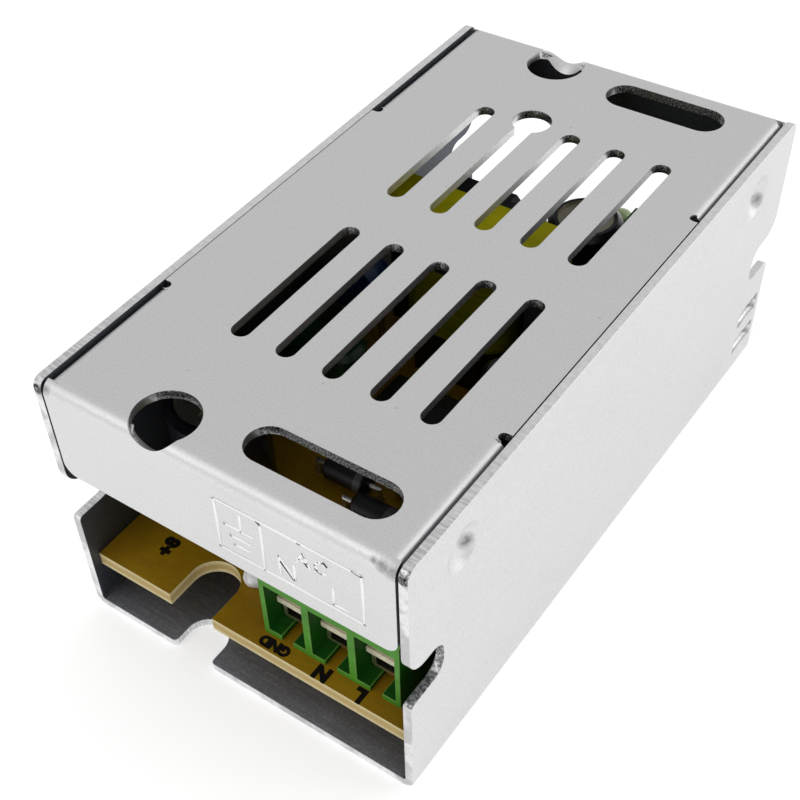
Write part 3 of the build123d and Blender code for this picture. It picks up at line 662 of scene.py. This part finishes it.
for name, lead_rise, body in (
    ("thermistor", 1.0 * mm, moulded_plastic("black_dipped_epoxy", "#191b18", 0.35)),
    ("bridging_capacitor", 5.4 * mm, moulded_plastic("blue_dipped_epoxy", "#143a6a", 0.25)),
    ("film_capacitor", 0.8 * mm, moulded_plastic("dark_green_dipped_epoxy", "#123a20", 0.28)),
    ("output_rectifier", 1.9 * mm, black_epoxy),
    ("voltage_reference", 1.9 * mm, black_epoxy),
):
    finish_faces(name, leads_below(board_high + lead_rise), body, tinned_lead)
for name, along in (("switching_chip", "x"), ("optocoupler", "y")):
    finish_faces(name, chip_faces(*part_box(name), along), black_epoxy, tinned_lead)
finish_solid("output_choke", black_epoxy)


# Indicator lamp: a lens of diffused green epoxy, cast round its two tinned leads, which looks
# pale and even rather than clear.
lens_rise = 3.0 * mm
green_lens = moulded_plastic("diffused_green_epoxy", "#b9cf96", 0.2)
finish_faces("indicator_lamp", leads_below(board_high + lens_rise), green_lens, tinned_lead)


# Silicone: a dab of white sealant from a nozzle, lumpy, leaning a little and slumped on the
# board, with a wet gloss.
dab_low, dab_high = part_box("silicone_dab")
lump_size = 1.1 * mm
lump_depth = 0.16
lean = 0.12
slump = -0.3
dab_form = bmesh.new()
bmesh.ops.create_icosphere(dab_form, subdivisions=4, radius=0.5)
for vertex in dab_form.verts:
    lumps = noise.noise(vertex.co * (dab_high.x - dab_low.x) / lump_size)
    vertex.co *= 1 - lump_depth * (1 + lumps)
    vertex.co.x += lean * vertex.co.z * vertex.co.z
    vertex.co.z = max(vertex.co.z, slump)
low = Vector(min(v.co[axis] for v in dab_form.verts) for axis in range(3))
high = Vector(max(v.co[axis] for v in dab_form.verts) for axis in range(3))
fit = [(dab_high[axis] - dab_low[axis]) / (high[axis] - low[axis]) for axis in range(3)]
bmesh.ops.translate(dab_form, vec=-low, verts=dab_form.verts)
bmesh.ops.scale(dab_form, vec=fit, verts=dab_form.verts)
bmesh.ops.translate(dab_form, vec=dab_low, verts=dab_form.verts)
white_silicone = moulded_plastic("white_silicone", "#ffffff", 0.12, fleck=0.02, gloss=0.9)
dab = keep_piece("silicone_dab_piece", dab_form, "silicone_white", white_silicone)
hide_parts("silicone_dab")


# Solder joints: a small concave cone of tin solder round every lead under the board, each a
# profile spun round its lead. Its points are radius and drop, in millimetres.
solder_high = 1.1 * mm
lead_reach = 1.05 * mm
solder_profile = [(0.32, 1.1), (0.36, 0.75), (0.5, 0.4), (0.72, 0.15), (0.95, 0.0)]
lead_ends = []
for name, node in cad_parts.items():
    if name in ("chassis", "cover", "circuit_board"):
        continue
    for vertex in node.data.vertices:
        if vertex.co.z >= board_low - solder_high:
            continue
        spot = vertex.co.xy
        near = [lead for lead in lead_ends if (lead[0] - spot).length < lead_reach]
        if near:
            near[0].append(spot)
        else:
            lead_ends.append([spot])
solder_form = bmesh.new()
for lead in lead_ends:
    along_x, along_y = zip(*lead)
    middle = Vector((
        (min(along_x) + max(along_x)) / 2, (min(along_y) + max(along_y)) / 2, board_low,
    ))
    profile = [
        solder_form.verts.new(middle + Vector((radius, 0, -drop)) * mm)
        for radius, drop in solder_profile
    ]
    lines = [solder_form.edges.new(pair) for pair in zip(profile, profile[1:])]
    bmesh.ops.spin(
        solder_form, geom=profile + lines, cent=middle, axis=(0, 0, 1),
        angle=math.tau, steps=14, use_merge=True,
    )
bmesh.ops.recalc_face_normals(solder_form, faces=solder_form.faces)
solder = plated_metal("tin_solder", "#c9c9c4", 0.22)
keep_piece("solder_joints", solder_form, "plated_metal", solder)


# Signs pressed into the front flange: a raised frame with the earth sign, the letters of an
# alternating supply and of the two mains poles. The ridges are soft and paler than the flange,
# as painted highlight, and thin dark lines and dots of painted shadow lie along their steeper
# sides. A stroke's points are x and z, in millimetres.
flange_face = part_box("cover")[0].y
sign_strokes = [
    [(0.35, 21.85), (15.2, 21.85), (15.2, 27.95), (0.4, 27.95), (0.35, 21.85)],
    [(5.1, 21.85), (5.2, 27.5)],
    [(1.15, 25.3), (4.2, 25.35)],
    [(1.65, 24.1), (3.75, 24.2)],
    [(1.95, 23.1), (3.5, 23.2)],
    [(2.95, 25.3), (3.05, 27.3)],
    [(6.85, 22.7), (6.8, 24.9), (8.3, 22.7), (8.35, 24.6)],
    [(8.8, 25.4), (9.4, 26.85), (10.05, 25.4)],
    [(9.05, 25.9), (9.8, 25.9)],
    [
        (11.75, 26.7), (11.35, 26.95), (10.9, 26.8), (10.6, 26.25), (10.8, 25.75),
        (11.2, 25.55), (11.65, 25.75),
    ],
    [(12.25, 24.3), (12.2, 22.35), (13.6, 22.45)],
]
sign_shadows = [
    [(6.95, 24.2), (8.15, 22.65)],
    [(4.85, 27.85), (5.2, 27.55)],
    [(9.4, 26.75), (9.6, 26.45)],
    [(9.5, 25.75), (9.8, 25.45)],
    [(10.6, 25.75), (11.0, 25.5)],
    [(11.5, 27.05), (11.8, 26.75)],
    [(14.3, 28.0), (15.1, 27.85)],
]
sign_shadow_dots = [
    [(1.15, 25.3), (1.25, 25.28)],
    [(0.25, 21.9), (0.35, 21.86)],
    [(1.7, 24.12), (1.8, 24.1)],
    [(2.0, 23.12), (2.1, 23.1)],
    [(9.0, 27.85), (9.25, 27.87)],
]


def raised_strokes(name, strokes, material, width, height, ease):
    """Ridges along strokes on the flange's face, with their front edges rounded. Sizes are in
    millimetres."""
    form = bmesh.new()
    for stroke in strokes:
        for start, end in zip(stroke, stroke[1:]):
            first = Vector((start[0] * mm, flange_face, start[1] * mm))
            last = Vector((end[0] * mm, flange_face, end[1] * mm))
            run = last - first
            place = Matrix.Translation((first + last) / 2)
            turn = Matrix.Rotation(-math.atan2(run.z, run.x), 4, "Y")
            size = Matrix.Diagonal((run.length + width * mm, 2 * height * mm, width * mm, 1))
            made = bmesh.ops.create_cube(form, size=1, matrix=place @ turn @ size)
            front = [v for v in made["verts"] if v.co.y < flange_face]
            edges = [e for e in form.edges if e.verts[0] in front and e.verts[1] in front]
            bmesh.ops.bevel(
                form, geom=edges, offset=ease * mm, segments=3, profile=0.5,
                affect="EDGES", material=-1,
            )
    keep_piece(name, form, "case_aluminium", material)


# Paler ridges as painted highlight, and dark strokes and dots as painted shadow.
ridge_highlight = mill_aluminium("aluminium_ridge_painted_highlight", "#fafafa", "#ececec", 0.36)
ridge_shadow = moulded_plastic("shadow_in_pressed_mark", "#2e2e30", 0.6)
for name, strokes, material, width, height, ease in (
    ("flange_signs", sign_strokes, ridge_highlight, 0.26, 0.05, 0.045),
    ("flange_sign_shadows", sign_shadows, ridge_shadow, 0.13, 0.06, 0.02),
    ("flange_sign_shadow_dots", sign_shadow_dots, ridge_shadow, 0.14, 0.06, 0.02),
):
    raised_strokes(name, strokes, material, width, height, ease)


# Printed marks on the board: the letters of the three mains wires, read from the other end,
# and a digit with a plus, all flat in dark ink. Each has its middle and its size in
# millimetres, and its turn in degrees.
printing_words = [
    ("GND", 2.95, -33.1, 1.45, 180),
    ("N", 8.4, -33.1, 2.0, 180),
    ("L", 12.6, -33.1, 2.0, 180),
    ("8", -13.2, -28.9, 2.0, 90),
    ("+", -13.1, -30.1, 2.0, 90),
]
ink_thickness = 0.01 * mm
boldness = 0.08
printing_form = bmesh.new()
for word, x, y, size, turn in printing_words:
    writing = bpy.data.curves.new("board_printing", "FONT")
    writing.body = word
    writing.size = size * mm
    writing.offset = boldness * size * mm
    writing.align_x = "CENTER"
    writing.align_y = "CENTER"
    writing.extrude = ink_thickness
    writer = bpy.data.objects.new("board_printing", writing)
    mesh = bpy.data.meshes.new_from_object(writer)
    place = Matrix.Translation((x * mm, y * mm, board_high))
    mesh.transform(place @ Matrix.Rotation(math.radians(turn), 4, "Z"))
    printing_form.from_mesh(mesh)
    bpy.data.objects.remove(writer)
    bpy.data.meshes.remove(mesh)
dark_ink = moulded_plastic("dark_printing_ink", "#110d07", 0.7, gloss=0.15)
keep_piece("board_printing", printing_form, "board_laminate", dark_ink)


# Studio: a plain white floor that shows as white and keeps the soft shadow, an even pale
# surround that shows as white behind it, and broad soft lamps.
floor_half = 2.0
floor_whitening = 0.43
surround_strength = 0.8
surround_whitening = 0.4
floor_form = bmesh.new()
bmesh.ops.create_grid(floor_form, x_segments=1, y_segments=1, size=floor_half)
floor_mesh = bpy.data.meshes.new("floor")
floor_form.to_mesh(floor_mesh)
floor_form.free()
floor = bpy.data.objects.new("floor", floor_mesh)
bpy.context.scene.collection.objects.link(floor)

white_floor = bpy.data.materials.new("white_studio_floor")
white_floor.use_nodes = True
floor_tree = white_floor.node_tree
floor_tree.nodes.clear()
from_camera = add_node(floor_tree, "ShaderNodeLightPath", "Is Camera Ray")
seen = from_camera
for ray in ("Is Glossy Ray", "Is Transmission Ray"):
    seen = add_node(floor_tree, "ShaderNodeMath", "Value", {
        0: seen, 1: from_camera.node.outputs[ray],
    }, operation="MAXIMUM")
glow = add_node(floor_tree, "ShaderNodeMath", "Value", {
    0: seen, 1: floor_whitening,
}, operation="MULTIPLY")
floor_sum = add_node(floor_tree, "ShaderNodeAddShader", "Shader", {
    0: add_node(floor_tree, "ShaderNodeBsdfDiffuse", "BSDF", {"Color": linear("#f0f0f0")}),
    1: add_node(floor_tree, "ShaderNodeEmission", "Emission", {"Strength": glow}),
})
add_node(floor_tree, "ShaderNodeOutputMaterial", inputs={"Surface": floor_sum})
floor_mesh.materials.append(white_floor)

world = bpy.data.worlds.new("pale_surround")
world.use_nodes = True
world.node_tree.nodes.clear()
surround_glow = add_node(world.node_tree, "ShaderNodeMath", "Value", {
    0: add_node(world.node_tree, "ShaderNodeLightPath", "Is Camera Ray"),
    1: surround_whitening, 2: surround_strength,
}, operation="MULTIPLY_ADD")
surround = add_node(world.node_tree, "ShaderNodeBackground", "Background", {
    "Color": linear("#efefef"), "Strength": surround_glow,
})
add_node(world.node_tree, "ShaderNodeOutputWorld", inputs={"Surface": surround})
bpy.context.scene.world = world


def soft_lamp(name, place, width, power):
    """A square soft lamp that faces the middle of the case, in metres and watts."""
    light = bpy.data.lights.new(name, "AREA")
    light.shape = "SQUARE"
    light.size = width
    light.energy = power
    lamp = bpy.data.objects.new(name, light)
    lamp.location = place
    lamp.rotation_euler = (case_middle - Vector(place)).to_track_quat("-Z", "Y").to_euler()
    bpy.context.scene.collection.objects.link(lamp)


case_middle = Vector((0, 0, 0.015))
soft_lamp("front_lamp", (-0.3, -0.5, 0.46), width=0.45, power=0.65)
soft_lamp("side_lamp", (0.5, 0.46, 0.3), width=0.5, power=0.95)


# Camera: at the photograph's viewing angle, looking down on the mains end. Its place, turn and
# lens were fitted to the case's edges and corners, and the shift gives the photograph's frame.
image_width = 800
principal_point = (338.2, 484.5)
focal_pixels = 1333.8
camera_place = Vector((54.79, -84.67, 107.75)) * mm
look_along = Vector((-0.4312, 0.5208, -0.7368)).normalized()
look_right = Vector((0.8067, 0.5883, -0.0563)).normalized()
look_up = look_right.cross(look_along).normalized()
look_right = look_along.cross(look_up)
lens = bpy.data.cameras.new("camera")
lens.sensor_width = 36
lens.lens = focal_pixels / image_width * lens.sensor_width
lens.shift_x = 0.5 - principal_point[0] / image_width
lens.shift_y = principal_point[1] / image_width - 0.5
lens.clip_start = 1 * mm
lens.dof.use_dof = False
camera = bpy.data.objects.new("camera", lens)
camera_turn = Matrix((look_right, look_up, -look_along)).transposed().to_4x4()
camera.matrix_world = Matrix.Translation(camera_place) @ camera_turn
bpy.context.scene.collection.objects.link(camera)
bpy.context.scene.camera = camera
bpy.context.scene.view_settings.view_transform = "Standard"
